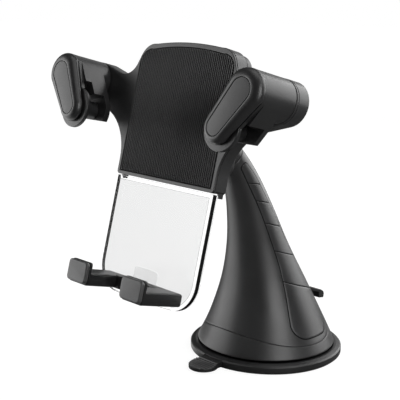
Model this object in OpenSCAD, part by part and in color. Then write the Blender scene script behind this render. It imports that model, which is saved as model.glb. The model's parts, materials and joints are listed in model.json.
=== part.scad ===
/* [Suction base] */
// Radius of the suction cup
cup_r = 40.6; // [38:0.2:44]
// Height of the cup's rim
cup_rim_h = 4.4; // [4:0.2:4.8]
// Width of the pull tab at the front of the cup
tab_w = 15; // [12:1:18]
// Height at which the base shell starts, above the cup
shell_foot_z = 5.8; // [5.6:0.1:6.2]
// Wall of the base shell
shell_wall = 2; // [1.6:0.1:2.4]

/* [Vacuum lever] */
// Radius of the post that lifts the cup
post_r = 4; // [3.5:0.1:4]
// Height of the lever's pin
lever_pin_z = 34; // [33.8:0.1:34.2]
// Width of the lever
lever_w = 14; // [12.5:0.5:14.5]

/* [Ball joint] */
// Radius of the ball head
ball_r = 8.5; // [8.4:0.1:8.6]
// Radius of the stud that carries the ball
stud_r = 3.2; // [2.8:0.1:3.2]

/* [Cradle] */
// How far the cradle leans back
lean = 14; // [13:0.5:15]
// Half of the body's width at its bottom edge
body_half_w = 33.7; // [33.4:0.1:34]
// Height of the body at its middle
body_h = 65.9; // [65.5:0.1:66.5]
// Depth of the body, front to back
body_t = 8; // [7.8:0.1:8]
// Thickness of the rear cover
cover_t = 4.5; // [4.5:0.1:5]

/* [Arms] */
// Distance of each arm's pivot from the middle
pivot_w = 61.2; // [61:0.1:61.4]
// Height of the arm pivots in the cradle
pivot_u = 43.3; // [43.1:0.1:43.5]
// Radius of the ear and of the arm's barrel
arm_r = 9.9; // [9.9:0.1:10.1]
// Length of each arm, pivot to lower end
arm_reach = 19.1; // [18:0.1:19.5]
// Angle of each arm from vertical, lower end towards the middle
arm_tilt = 34; // [32:1:36]

/* [Slider and feet] */
// Half of the clear plate's width
plate_half_w = 33.2; // [32.8:0.1:33.4]
// Lowest edge of the clear plate in the cradle
plate_low_u = -57.6; // [-59:0.2:-57]
// Thickness of the clear plate
plate_t = 3.5; // [3.2:0.1:3.6]
// Width of each foot
foot_w = 14; // [12:0.2:14.4]

/* [Hidden] */
$fn = 64;

// Clearance of a turning fit, on the radius
run_gap = 0.06;
// Clearance of a part that sits still in another, on the radius
seat_gap = 0.02;
// Gap between parts that lie against each other
face_gap = 0.1;
// A little extra for cuts
eps = 0.5;

// ---- shared functions ----
function arc(c, r, a0, a1, n = 10) =
    [for (i = [0:n]) c + r * [cos(a0 + (a1 - a0) * i / n), sin(a0 + (a1 - a0) * i / n)]];
function mirrored(points) = [for (i = [len(points) - 1:-1:0]) [-points[i][0], points[i][1]]];
function mix(a, b, t) = a * (1 - t) + b * t;

// Smooth curve through a list of stations, by place s from 0 to the last index
function station(list, s) =
    let (i = min(floor(s), len(list) - 2), t = s - i,
         p1 = list[i], p2 = list[i + 1],
         p0 = i > 0 ? list[i - 1] : 2 * p1 - p2,
         p3 = i + 2 < len(list) ? list[i + 2] : 2 * p2 - p1)
    0.5 * (2 * p1 + t * (p2 - p0) + t * t * (2 * p0 - 5 * p1 + 4 * p2 - p3)
           + t * t * t * (3 * p1 - p0 - 3 * p2 + p3));

// A closed solid through rings of points, all rings with the same number of points
module skin(rings) {
    n = len(rings[0]);
    m = len(rings);
    sides = [for (j = [0:m - 2], i = [0:n - 1]) each
        [[j * n + i, (j + 1) * n + i, (j + 1) * n + (i + 1) % n],
         [j * n + i, (j + 1) * n + (i + 1) % n, j * n + (i + 1) % n]]];
    polyhedron(concat([for (ring = rings) each ring]),
               concat(sides, [[for (i = [0:n - 1]) i]], [[for (i = [n - 1:-1:0]) (m - 1) * n + i]]));
}

// A ring-shaped solid: rings go round a loop, and the last ring joins the first
module skin_loop(rings) {
    n = len(rings[0]);
    m = len(rings);
    polyhedron(concat([for (ring = rings) each ring]),
               [for (j = [0:m - 1], i = [0:n - 1]) each
                   [[j * n + i, ((j + 1) % m) * n + i, ((j + 1) % m) * n + (i + 1) % n],
                    [j * n + i, ((j + 1) % m) * n + (i + 1) % n, j * n + (i + 1) % n]]]);
}

// A coil spring standing on z = 0
module coil(r, wire, length, turns, per_turn = 14, sides = 6) {
    count = turns * per_turn;
    skin([for (k = [0:count])
        let (a = 360 * k / per_turn, z = wire + (length - 2 * wire) * k / count)
        [for (i = [0:sides - 1])
            let (b = -360 * i / sides)
            [(r + wire * cos(b)) * cos(a), (r + wire * cos(b)) * sin(a), z + wire * sin(b)]]]);
}

module mirror_pair() {
    children();
    mirror([1, 0, 0]) children();
}

// ---- base: shape of the cone ----
// Each row: y and z of the middle, radius, and how far the section leans forward
cone_stations = [
    [0, 5.8, 36.9, 0], [-0.4, 20, 30.3, 0], [-3.4, 40, 22.4, 0], [-8.8, 60, 16.2, 0],
    [-15.6, 80, 11.9, 6], [-23.2, 96.5, 8.8, 24], [-30.4, 108, 6.7, 46.8]
];
cone_last = len(cone_stations) - 1;
// The seam between the skirt and the shell: highest at front and back
seam_low_z = 11.4;
seam_rise = 6.2;
cone_sides = 48;
// Angle from +X around the cone
function cone_point(s, a, inset = 0) =
    let (c = station(cone_stations, s), r = c[2] - inset)
    [r * cos(a), c[0] + r * sin(a) * cos(c[3]), c[1] + r * sin(a) * sin(c[3])];
function seam_z(a) = seam_low_z + seam_rise * sin(a) * sin(a);
// Place of a height in the lowest stretch of the stations
function s_of_z(z) = (z - cone_stations[0][1]) / (cone_stations[1][1] - cone_stations[0][1]);

// The part of the shell above or below the seam, as a ring of profiles
module cone_band(low_z, high, inset, steps, sides = cone_sides) {
    skin_loop([for (k = [0:sides - 1])
        let (a = -360 * k / sides,
             s0 = low_z == "seam" ? s_of_z(seam_z(a) + face_gap) : 0,
             s1 = high == "seam" ? s_of_z(seam_z(a)) : high)
        concat([for (j = [0:steps]) cone_point(mix(s0, s1, j / steps), a)],
               [for (j = [steps:-1:0]) cone_point(mix(s0, s1, j / steps), a, inset)])]);
}

lever_slot_w = 15.2;
lever_slot_low = 7.8;
lever_slot_high = 32.5;
module lever_slot() {
    translate([-lever_slot_w / 2, 18, lever_slot_low])
        cube([lever_slot_w, 30, lever_slot_high - lever_slot_low]);
}

// ---- base: pieces ----
tab_end_y = -cup_r - 6.4;
tab_neck_half = tab_w / 2 - 1.2;
module tab_outline() {
    translate([0, tab_end_y]) circle(r = tab_w / 2);
    translate([-tab_neck_half, tab_end_y]) square([2 * tab_neck_half, 14]);
}
// Half of the tab's width at y
function tab_half(y) =
    let (round_half = sqrt(max(0, tab_w * tab_w / 4 - (y - tab_end_y) * (y - tab_end_y))))
    y < tab_end_y ? round_half : max(round_half, tab_neck_half);

module suction_cup() {
    tab_z = 0.7;
    tab_t = 1.8;
    rib_count = 7;
    rib_pitch = 1.6;
    rib_w = 0.8;
    rib_h = 0.4;
    rib_edge = 0.3;
    membrane_t = 2.4;
    color([0.12, 0.12, 0.12]) {
        rotate_extrude($fn = 96)
            polygon([[0, 0], [cup_r - 1, 0], [cup_r, 0.9], [cup_r, cup_rim_h - 0.6],
                     [cup_r - 0.6, cup_rim_h], [cup_r - 2.6, cup_rim_h + 0.6],
                     [cup_r - 4, cup_rim_h + 0.6], [cup_r - 6, membrane_t], [0, membrane_t]]);
        difference() {
            translate([0, 0, tab_z]) linear_extrude(tab_t) tab_outline();
            translate([0, 0, -eps]) cylinder(r = cup_r - 2, h = 9);
        }
        // ribs across the tab
        for (i = [0:rib_count - 1])
            let (y = tab_end_y - tab_w / 2 + 1 + i * rib_pitch, half = tab_half(y) - rib_edge)
            translate([-half, y, tab_z + tab_t - 0.3]) cube([2 * half, rib_w, rib_h + 0.3]);
    }
}

spring_pocket_r = 6.2;
spring_pocket_z = 18;
tower_top_z = 27.4;
module base_plate() {
    plate_r = 33.5;
    plate_h = 2;
    color([0.15, 0.15, 0.15]) difference() {
        union() {
            translate([0, 0, shell_foot_z]) cylinder(r = plate_r, h = plate_h);
            translate([0, 0, shell_foot_z]) cylinder(r = 8, h = spring_pocket_z + 2 - shell_foot_z);
            translate([0, 0, shell_foot_z]) cylinder(r = 7, h = tower_top_z - shell_foot_z);
        }
        translate([0, 0, shell_foot_z - eps])
            cylinder(r = spring_pocket_r, h = spring_pocket_z - shell_foot_z + eps);
        translate([0, 0, 0]) cylinder(r = post_r + run_gap, h = tower_top_z + 1);
        translate([-lever_slot_w / 2, 24, 0]) cube([lever_slot_w, 20, 20]);
    }
}

module skirt_ring() {
    color([0.1, 0.1, 0.1]) difference() {
        cone_band("foot", "seam", shell_wall, 4);
        lever_slot();
    }
}

module cone_shell() {
    color([0.13, 0.13, 0.13]) difference() {
        cone_band("seam", cone_last, shell_wall, 16);
        lever_slot();
    }
}

// The grip strip's edges: place along the cone, and angle from +X at its front and rear edge
strip_edges = [
    [0.64, 21, -29], [1.15, 22, -32], [1.75, 19.5, -38.5], [2.7, 15.5, -36], [3.5, 16.5, -26],
    [4.3, 19, -19.5], [5, 21.5, -17.5], [5.7, 20, -10]
];
strip_low = strip_edges[0][0];
strip_high = strip_edges[len(strip_edges) - 1][0];
strip_low_r = 8.5;
strip_high_r = 1.6;
// Length along the cone of one place, at the strip's lower and upper end
low_place_mm = 17;
high_place_mm = 13.5;
strip_proud = 0.4;
// The rows of the table that a place lies between, and its edges there
function strip_row(s) = max([for (i = [0:len(strip_edges) - 2]) strip_edges[i][0] <= s ? i : 0]);
function strip_edge(s) =
    let (i = strip_row(s), a = strip_edges[i], b = strip_edges[i + 1])
    station(strip_edges, i + (s - a[0]) / (b[0] - a[0]));
// How far an edge moves in by a rounded end of radius r, at a distance from the end
function end_inset(r, away) = away < r ? r - sqrt(r * r - (r - away) * (r - away)) : 0;
module grip_strip() {
    steps = 28;
    across = 6;
    color([0.16, 0.16, 0.16]) skin([for (k = [0:steps])
        let (s = mix(strip_low, strip_high, (1 - cos(180 * k / steps)) / 2),
             inset = end_inset(strip_low_r, (s - strip_low) * low_place_mm)
                 + end_inset(strip_high_r, (strip_high - s) * high_place_mm),
             turn = inset / station(cone_stations, s)[2] * 180 / PI,
             e = strip_edge(s),
             front = turn - e[1],
             rear = -e[2] - turn)
        concat([for (j = [0:across]) cone_point(s, mix(front, rear, j / across), -strip_proud)],
               [for (j = [across:-1:0]) cone_point(s, mix(front, rear, j / across), -face_gap)])]);
}
module grip_strip_right() { grip_strip(); }
module grip_strip_left() { mirror([1, 0, 0]) grip_strip(); }

// Ball centre, and the neck's line down from it into the cone
ball_y = -43.2;
ball_z = 120;
neck_lean = 46.8;
collar_at = -14;
collar_end = -17.4;
module neck_frame() {
    translate([0, ball_y, ball_z]) rotate([neck_lean, 0, 0]) children();
}

module neck_collar() {
    color([0.12, 0.12, 0.12]) neck_frame() rotate_extrude()
        polygon([[stud_r + seat_gap, collar_at], [5.4, collar_at], [6, collar_at - 0.6], [6.65, collar_end],
                 [4.3, collar_end], [3.9, collar_end - 4], [stud_r + seat_gap, collar_end - 4]]);
}

module ball_stud() {
    color([0.55, 0.56, 0.58]) neck_frame() translate([0, 0, collar_end - 6])
        cylinder(r = stud_r, h = -collar_end + 6);
}

module ball_head() {
    color([0.2, 0.2, 0.2]) neck_frame() difference() {
        sphere(r = ball_r, $fn = 96);
        translate([0, 0, -ball_r - 1]) cylinder(r = stud_r + run_gap, h = ball_r + 1 + face_gap);
    }
}

module cup_spring() {
    color([0.7, 0.7, 0.72]) translate([0, 0, 4.2]) coil(5.1, 0.45, spring_pocket_z - 4.4, 5, 16);
}

module cup_post() {
    color([0.3, 0.3, 0.3]) difference() {
        union() {
            translate([0, 0, 2.5]) cylinder(r = 8, h = 1.4);
            translate([0, 0, 2.5]) cylinder(r = post_r, h = lever_pin_z + 4 - 2.5);
        }
        translate([-10, 0, lever_pin_z]) rotate([0, 90, 0]) cylinder(r = 1.5 + seat_gap, h = 20);
    }
}

module lever_pin() {
    color([0.7, 0.7, 0.72]) translate([-lever_w / 2, 0, lever_pin_z]) rotate([0, 90, 0])
        cylinder(r = 1.5, h = lever_w);
}

// Side outline of the lever: y, z
tip_y = 40.6;
tip_top_z = 24.6;
bend_z = 30;
module lever_cheek_outline() {
    cam_y = 5.64;
    cam_z = lever_pin_z - 1.7;
    translate([0, lever_pin_z]) circle(r = 4.4);
    translate([cam_y, cam_z]) circle(r = 4.5);
    polygon([[0, lever_pin_z + 4.4], [12, 34.6], [12, 31], [cam_y, cam_z - 4.5], [0, lever_pin_z - 4.4]]);
}
module lever_plate_outline() {
    plate_thick = 2.2;
    lip_w = 4.4;
    lip_h = 4.8;
    polygon([[8, 36.2], [12, 34.6], [28.4, bend_z], [tip_y - 2.4, tip_top_z + 1.6],
             [tip_y - 0.6, tip_top_z + 0.4], [tip_y, tip_top_z - 1], [tip_y - 0.4, tip_top_z + 1.4 - lip_h],
             [tip_y - lip_w, tip_top_z + 2 - lip_h], [tip_y - lip_w - 0.4, tip_top_z + 0.6],
             [28.4, bend_z - plate_thick], [12, 31.6], [8, 33]]);
}
module along_x(w) {
    translate([-w / 2, 0, 0]) rotate([90, 0, 90]) linear_extrude(w) children();
}
module vacuum_lever() {
    color([0.1, 0.1, 0.1]) difference() {
        union() {
            along_x(lever_w) lever_cheek_outline();
            along_x(lever_w) lever_plate_outline();
        }
        translate([-10, 0, lever_pin_z]) rotate([0, 90, 0]) cylinder(r = 1.5 + run_gap, h = 20);
        translate([-post_r - 0.4, -9, 20]) cube([2 * post_r + 0.8, 17.2, 30]);
    }
}

// ---- cradle frame: x across, y into the depth, z up the cradle ----
cradle_y = -75.9;
cradle_z = 100.3;
module cradle_frame() {
    translate([0, cradle_y, cradle_z]) rotate([-lean, 0, 0]) children();
}
// A flat outline in the cradle's plane, from depth d0 to depth d1
module slab(d0, d1) {
    translate([0, d1, 0]) rotate([90, 0, 0]) linear_extrude(d1 - d0) children();
}
// A cylinder along the depth
module rod(w, u, r, d0, d1) {
    translate([w, d1, u]) rotate([90, 0, 0]) cylinder(r = r, h = d1 - d0);
}
// Solid of revolution about a line along the depth; its profile is radius, depth
module turned(w, u) {
    translate([w, 0, u]) rotate([-90, 0, 0]) rotate_extrude() children();
}
// The ball's centre in the cradle's plane and depth
ball_u = (ball_y - cradle_y) * sin(lean) + (ball_z - cradle_z) * cos(lean);
ball_d = (ball_y - cradle_y) * cos(lean) - (ball_z - cradle_z) * sin(lean);

// Half outline of the body, bottom middle to top middle, then mirrored
body_low_u = -0.4;
wing_r = 24;
wing_c = [body_half_w + wing_r, 7];
notch_c = [42.5, 58.3];
notch_r = 9.7;
corner_c = [22.9, 54.9];
corner_r = 9.6;
crown_r = 172;
function body_half(g) = concat(
    [[body_half_w - g - 1, body_low_u + g], [body_half_w - g, body_low_u + g + 1]],
    arc(wing_c, wing_r + g, 180, 105.3, 12),
    arc([pivot_w, pivot_u], arm_r - g, -74.7, 104.7, 20),
    arc(notch_c, notch_r + g, 286, 202, 10),
    arc(corner_c, corner_r - g, 22, 82, 8),
    arc([0, body_h - crown_r], crown_r - g, 82.9, 90, 6));
module body_outline(g = 0) {
    half = body_half(g);
    polygon(concat(half, mirrored([for (i = [0:len(half) - 2]) half[i]])));
}

pad_half_w = 31.8;
pad_low_u = 1.4;
pad_h = 63.7;
pad_crown_r = 145;
function pad_half(g) = concat(
    [[pad_half_w - g, pad_low_u + g]],
    arc([24.2, 54.3], pad_half_w - 24.2 - g, 0, 80.6, 8),
    arc([0, pad_h - pad_crown_r], pad_crown_r - g, 80.6, 90, 6));
module pad_outline(g = 0) {
    half = pad_half(g);
    polygon(concat(half, mirrored([for (i = [0:len(half) - 2]) half[i]])));
}

front_t = 1.2;
pad_floor_d = 0.7;
shaft_r = 3.5;
idler_w = 47.4;
idler_u = 39.2;
housing_screw_at = [[35.3, 22.4], [24.5, 57.5]];
cover_screw_at = [[27.2, 13], [24.6, 48]];
module at_each(places) {
    for (p = places) mirror_pair() translate([p[0], 0, p[1]]) children();
}

module front_cover() {
    color([0.13, 0.13, 0.13]) cradle_frame() difference() {
        slab(0, front_t) body_outline();
        slab(-eps, pad_floor_d) pad_outline();
        mirror_pair() rod(pivot_w, pivot_u, shaft_r + run_gap, -eps, front_t + eps);
    }
}

module ribbed_pad() {
    pad_front_d = -0.25;
    color([0.08, 0.08, 0.08]) cradle_frame()
        slab(pad_front_d, pad_floor_d - seat_gap) pad_outline(0.15);
}

back_wall_d = 6.9;
body_wall = 1.3;
module body_housing() {
    nub_w = 1.2;
    color([0.12, 0.12, 0.12]) cradle_frame() {
        difference() {
            slab(front_t + 0.15, body_t) body_outline(0);
            slab(front_t - eps, back_wall_d) body_outline(body_wall);
            // mouth for the slider
            translate([-tongue_half_w - 0.3, front_t - eps, body_low_u - 2])
                cube([2 * tongue_half_w + 0.6, tongue_d1 + 0.3 - front_t + eps, 5]);
            mirror_pair() rod(pivot_w, pivot_u, 2 + run_gap, 5, body_t + eps);
            mirror_pair() rod(idler_w, idler_u, 1.2 + seat_gap, 5, body_t + eps);
            at_each(housing_screw_at) rod(0, 0, 1.12, 5, body_t + eps);
            at_each(cover_screw_at) rod(0, 0, 0.92, 5, body_t + eps);
        }
        // small feet under the body, behind the plate
        mirror_pair() translate([32, plate_d1 + 0.4, body_low_u - 2]) cube([nub_w, 2.8, 2.9]);
        // screw bosses
        at_each(housing_screw_at) difference() {
            rod(0, 0, 2, front_t + 0.15, back_wall_d + eps);
            rod(0, 0, 1.12, 0, body_t + eps);
        }
        // anchor of the return spring
        translate([-2, front_t + 0.3, 61.2]) cube([4, back_wall_d - front_t, 2]);
    }
}

// Rounded outline of the rear cover
module cover_outline(g = 0) {
    half = concat(arc([26.6, 13], 6 - g, -90, 0, 6), arc([23.8, 54.4], 9 - g, 0, 90, 8));
    polygon(concat(half, mirrored(half)));
}
module rear_cover() {
    wall = 1.5;
    color([0.12, 0.12, 0.12]) cradle_frame() difference() {
        union() {
            slab(body_t + 0.05, body_t + cover_t - 1) cover_outline();
            slab(body_t + cover_t - 1, body_t + cover_t) cover_outline(0.8);
        }
        difference() {
            slab(body_t - eps, body_t + cover_t - wall) cover_outline(wall);
            at_each(cover_screw_at) rod(0, 0, 2.6, 0, 20);
        }
        at_each(cover_screw_at) rod(0, 0, 1.12, 5, 20);
        at_each(cover_screw_at) rod(0, 0, 2.3, body_t + cover_t - 1.2, 20);
    }
}

liner_r = ball_r + 1.8;
module ball_socket() {
    lip_d = ball_d + 4;
    cavity_r = liner_r + run_gap;
    color([0.14, 0.14, 0.14]) cradle_frame() difference() {
        turned(0, ball_u) polygon(concat([
            [0, body_t + cover_t + 0.05], [14.2, body_t + cover_t + 0.05], [14.2, 14.2], [12.6, 15.4],
            [12.6, lip_d]],
            arc([0, ball_d], cavity_r, asin((lip_d - ball_d) / cavity_r), -90, 24)));
        // slots that let the socket close on the ball
        for (a = [45, 135])
            translate([0, 0, ball_u]) rotate([0, a, 0]) translate([-20, 20, -0.6]) cube([40, 20, 1.2]);
    }
}

module socket_liner() {
    front = -7;
    back = 3.8;
    inner_r = ball_r + run_gap + 0.01;
    color([0.3, 0.3, 0.3]) cradle_frame() turned(0, ball_u) polygon(concat(
        arc([0, ball_d], inner_r, asin(front / inner_r), asin(back / inner_r), 20),
        arc([0, ball_d], liner_r, asin(back / liner_r), asin(front / liner_r), 16)));
}

nut_grips = 18;
module lock_nut() {
    color([0.11, 0.11, 0.11]) cradle_frame() difference() {
        turned(0, ball_u) polygon([for (p = [
            [12.66, -10.4], [14.9, -10.4], [15.5, -9.8], [15.5, 3.6], [13.6, 6.2], [9.6, 6.2], [9.4, 4.4],
            [12.66, 4.4]]) [p[0], ball_d + p[1]]]);
        for (i = [0:nut_grips - 1])
            translate([0, 0, ball_u]) rotate([0, 360 * i / nut_grips, 0])
                rod(16.3, 0, 1.3, ball_d - 8.6, ball_d + 2.2);
    }
}

module cover_screws() {
    color([0.6, 0.6, 0.62]) cradle_frame() at_each(cover_screw_at) {
        rod(0, 0, 2.2, body_t + cover_t - 1.15, body_t + cover_t - 0.2);
        rod(0, 0, 0.9, back_wall_d + 0.05, body_t + cover_t - 1);
    }
}

module housing_screws() {
    color([0.6, 0.6, 0.62]) cradle_frame() at_each(housing_screw_at) {
        rod(0, 0, 1.08, front_t + 0.1, body_t + 0.3);
        difference() {
            rod(0, 0, 1.9, body_t + 0.05, body_t + 0.9);
            rod(0, 0, 1.0, body_t + 0.4, 20);
        }
    }
}

module idler_pins() {
    color([0.6, 0.6, 0.62]) cradle_frame() mirror_pair()
        rod(idler_w, idler_u, 1.2, front_t + 0.1, body_t - 0.1);
}

module return_spring() {
    color([0.7, 0.7, 0.72]) cradle_frame() translate([0, 4.2, 48.6]) coil(1.5, 0.3, 12.4, 10, 10, 5);
}

// ---- gears ----
gear_module = 0.9;
gear_teeth = 16;
gear_pitch_r = gear_module * gear_teeth / 2;
// Share of the pitch taken by a tooth at the pitch line
tooth_share = 0.4;
gear_d0 = 3.9;
gear_d1 = 6;
// One tooth pointing along +X from the gear's middle
function tooth(turn) =
    let (half_pitch = 180 / gear_teeth,
         rows = [[gear_pitch_r - 1.15, 1.35], [gear_pitch_r - 0.4, 1.18], [gear_pitch_r, 1],
                 [gear_pitch_r + 0.4, 0.74], [gear_pitch_r + 0.78, 0.42]],
         edge = [for (row = rows) [row[0], row[1] * half_pitch * tooth_share]])
    [for (e = concat([for (e = edge) [e[0], -e[1]]], [for (i = [len(edge) - 1:-1:0]) edge[i]]))
        e[0] * [cos(turn + e[1]), sin(turn + e[1])]];
function gear_points(phase) =
    [for (k = [0:gear_teeth - 1]) each tooth(phase + 360 * k / gear_teeth)];
// Direction from the idler to the arm's pivot
mesh_angle = atan2(pivot_u - idler_u, pivot_w - idler_w);
half_tooth = 180 / gear_teeth;

module idler_gear(side) {
    color([0.75, 0.74, 0.7]) cradle_frame() mirror([side < 0 ? 1 : 0, 0, 0]) difference() {
        translate([idler_w, 0, idler_u]) slab(gear_d0, gear_d1) polygon(gear_points(180));
        rod(idler_w, idler_u, 1.2 + run_gap, 0, 10);
    }
}
module idler_gear_right() { idler_gear(1); }
module idler_gear_left() { idler_gear(-1); }

// Phase that puts a gap of the arm gear where the idler's tooth or gap meets it
idler_phase_at_mesh = (mesh_angle - 180) / (2 * half_tooth);
arm_gear_phase = mesh_angle + 180 + half_tooth
    + 2 * half_tooth * (idler_phase_at_mesh - floor(idler_phase_at_mesh));
module arm_gear(side) {
    color([0.75, 0.74, 0.7]) cradle_frame() mirror([side < 0 ? 1 : 0, 0, 0]) difference() {
        translate([pivot_w, 0, pivot_u]) slab(gear_d0, gear_d1) polygon(gear_points(arm_gear_phase));
        rod(pivot_w, pivot_u, shaft_r + seat_gap, 0, 10);
    }
}
module arm_gear_right() { arm_gear(1); }
module arm_gear_left() { arm_gear(-1); }

module arm_shaft(side) {
    color([0.6, 0.6, 0.62]) cradle_frame() mirror([side < 0 ? 1 : 0, 0, 0]) {
        rod(pivot_w, pivot_u, shaft_r, -17, gear_d1 + 0.2);
        rod(pivot_w, pivot_u, 2, gear_d1, body_t - 0.2);
    }
}
module arm_shaft_right() { arm_shaft(1); }
module arm_shaft_left() { arm_shaft(-1); }

// ---- arms: frame at the pivot, lower end straight down before the tilt ----
ear_gap = 0.4;
arm_back_d = -5.6;
arm_front_d = -18.2;
flange_front_d = -20.1;
lug_front_d = -8.3;
// Height in the cradle of the lug's flat lower edge, arms at rest
lug_low_u = 23.1;
// Back of the jaw's deeper front part
jaw_step_d = -14.5;
module arm_frame(side) {
    cradle_frame() mirror([side < 0 ? 1 : 0, 0, 0]) translate([pivot_w, 0, pivot_u]) rotate([0, arm_tilt, 0])
        children();
}
// Outline of the arm: two round ends, pivot at the top
module arm_outline(r_top, r_low, drop = 0) {
    slope = asin((r_top - r_low) / arm_reach);
    polygon(concat(arc([0, drop], r_top, slope, 180 - slope, 16),
                   arc([0, -arm_reach], r_low, 180 - slope, 360 + slope, 16)));
}
// The open jaw at the arm's lower end, its upper edge lower on the side of the middle
module jaw_outline() {
    polygon([[-16, -34], [16, -34], [16, -7.5], [9.4, -9.7], [-9.9, -16.1], [-16, -18.1]]);
}

module arm_housing(side) {
    color([0.13, 0.13, 0.13]) arm_frame(side) difference() {
        union() {
            slab(arm_back_d, -ear_gap) polygon(arc([0, 0], arm_r - 0.1, 0, 348.75, 31));
            slab(arm_front_d, arm_back_d) arm_outline(arm_r - 0.1, arm_r - 0.1);
        }
        slab(arm_front_d - eps, lug_front_d) jaw_outline();
        slab(arm_front_d - eps, jaw_step_d) translate([-16, -34]) square([32, 24.4]);
        rotate([0, -arm_tilt, 0]) translate([-20, arm_front_d - eps, lug_low_u - pivot_u - 20])
            cube([40, arm_back_d - arm_front_d + 2 * eps, 20]);
        rod(0, 0, shaft_r + seat_gap, -17.1, eps);
        rod(0, -arm_reach, 1.52, lug_front_d - eps, arm_back_d + eps);
    }
}
module arm_housing_right() { arm_housing(1); }
module arm_housing_left() { arm_housing(-1); }

module arm_flange(side) {
    color([0.12, 0.12, 0.12]) arm_frame(side)
        union() {
            slab(flange_front_d, arm_front_d - 0.05) arm_outline(arm_r - 0.1, arm_r - 2.7);
            rod(0, -arm_reach, arm_r + 0.1, flange_front_d, arm_front_d - 0.05);
        }
}
module arm_flange_right() { arm_flange(1); }
module arm_flange_left() { arm_flange(-1); }

module clamp_post(side) {
    post_face_r = 4.3;
    color([0.1, 0.1, 0.1]) arm_frame(side) {
        rod(0, -arm_reach, post_face_r, arm_front_d + 0.05, lug_front_d - 0.05);
        rod(0, -arm_reach, 1.5, lug_front_d - 1, arm_back_d);
    }
}
module clamp_post_right() { clamp_post(1); }
module clamp_post_left() { clamp_post(-1); }

arm_pad_front_d = -24.5;
inlay_t = 0.55;
// Steps of the arm's cap from back to front: how far in from its outline, and front depth
cap_steps = [[0, -22], [0.6, -23.2], [1.5, -24], [2.4, arm_pad_front_d]];
module arm_pad(side) {
    color([0.12, 0.12, 0.12]) arm_frame(side) difference() {
        for (i = [0:len(cap_steps) - 1])
            slab(cap_steps[i][1], i == 0 ? flange_front_d - 0.05 : cap_steps[i - 1][1])
                arm_outline(arm_r - cap_steps[i][0], arm_r - 2.5 - cap_steps[i][0]);
        slab(arm_pad_front_d - eps, arm_pad_front_d + inlay_t + 0.05) arm_outline(5.4, 4.5, -0.6);
    }
}
module arm_pad_right() { arm_pad(1); }
module arm_pad_left() { arm_pad(-1); }

module arm_inlay(side) {
    color([0.33, 0.33, 0.34]) arm_frame(side)
        slab(arm_pad_front_d, arm_pad_front_d + inlay_t) arm_outline(5.2, 4.3, -0.6);
}
module arm_inlay_right() { arm_inlay(1); }
module arm_inlay_left() { arm_inlay(-1); }

// ---- slider ----
plate_d0 = 0.7;
plate_d1 = plate_d0 + plate_t;
plate_high_u = body_low_u - 0.6;
// The plate's thinner tongue, which runs inside the body
tongue_half_w = 31.3;
tongue_d0 = front_t + 0.3;
tongue_d1 = tongue_d0 + 2;
tongue_top_u = 30;
// Screws that hold the plate to the carriage and to the feet
plate_screw_w = 20;
carriage_screw_u = 25;
foot_screw_u = -50.6;
module clear_plate() {
    corner = 14;
    half = concat(arc([plate_half_w - corner, plate_low_u + corner + 1], corner, -84, 0, 10),
                  [[plate_half_w, plate_high_u]]);
    color([0.9, 0.93, 0.94, 0.4]) cradle_frame() difference() {
        union() {
            slab(plate_d0, plate_d1) polygon(concat([[0, plate_low_u]], half, mirrored(half)));
            translate([-tongue_half_w, tongue_d0, plate_high_u - 3])
                cube([2 * tongue_half_w, tongue_d1 - tongue_d0, tongue_top_u - plate_high_u + 3]);
        }
        mirror_pair() rod(plate_screw_w, carriage_screw_u, 1.12, plate_d0 - eps, plate_d1 + eps);
        mirror_pair() rod(plate_screw_w, foot_screw_u, 1.12, plate_d0 - eps, plate_d1 + eps);
    }
}

rack_w = idler_w - gear_pitch_r;
rack_pitch = PI * gear_module;
module rack_outline() {
    teeth = 4;
    back = rack_w - 3.4;
    low = idler_u - rack_pitch;
    high = idler_u + (teeth - 1.5) * rack_pitch + 0.8;
    root = rack_w - 1.15;
    half_root = rack_pitch * tooth_share / 2 * 1.35;
    half_tip = rack_pitch * tooth_share / 2 * 0.45;
    tip = rack_w + 0.7;
    // a gap of the rack stands level with the idler's middle
    polygon(concat([[back, low], [back, high], [root, high]],
        [for (k = [teeth - 1:-1:0]) each
            let (u = idler_u + (k - 0.5) * rack_pitch)
            [[root, u + half_root], [tip, u + half_tip], [tip, u - half_tip], [root, u - half_root]]],
        [[root, low]]));
}
carriage_d0 = tongue_d1 + 0.05;
carriage_t = 2.2;
carriage_d1 = carriage_d0 + carriage_t;
module slider_carriage() {
    color([0.2, 0.2, 0.2]) cradle_frame() {
        difference() {
            slab(carriage_d0, carriage_d1) polygon([
                [-26, 19], [26, 19], [30, 26], [30, 36], [rack_w - 3.2, 36], [rack_w - 3.2, 46], [28, 46],
                [22, 42], [-22, 42], [-28, 46], [3.2 - rack_w, 46], [3.2 - rack_w, 36], [-30, 36],
                [-30, 26]]);
            mirror_pair() rod(plate_screw_w, carriage_screw_u, 0.92, 0, 20);
        }
        mirror_pair() slab(gear_d0, carriage_d1) rack_outline();
        // tongue that holds the return spring
        translate([-2.5, carriage_d0, 41.8]) cube([5, carriage_t, 6.6]);
    }
}

module carriage_screws() {
    color([0.6, 0.6, 0.62]) cradle_frame() mirror_pair() {
        rod(plate_screw_w, carriage_screw_u, 0.9, tongue_d0 + 0.1, carriage_d1 - 0.1);
        rod(plate_screw_w, foot_screw_u, 0.9, plate_d0 - 2, plate_d1 + 0.1);
        rod(plate_screw_w, foot_screw_u, 2, plate_d1 + 0.05, plate_d1 + 1.1);
    }
}

// Feet: ledge that the phone stands on and the uprights in front of it
foot_inner = 12.4;
ledge_u = -47.7;
ledge_low_u = -53.8;
upright_d0 = -22.8;
upright_d1 = -21;
upright_top_u = -42.9;
bracket_d1 = plate_d0 - 0.05;
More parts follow.
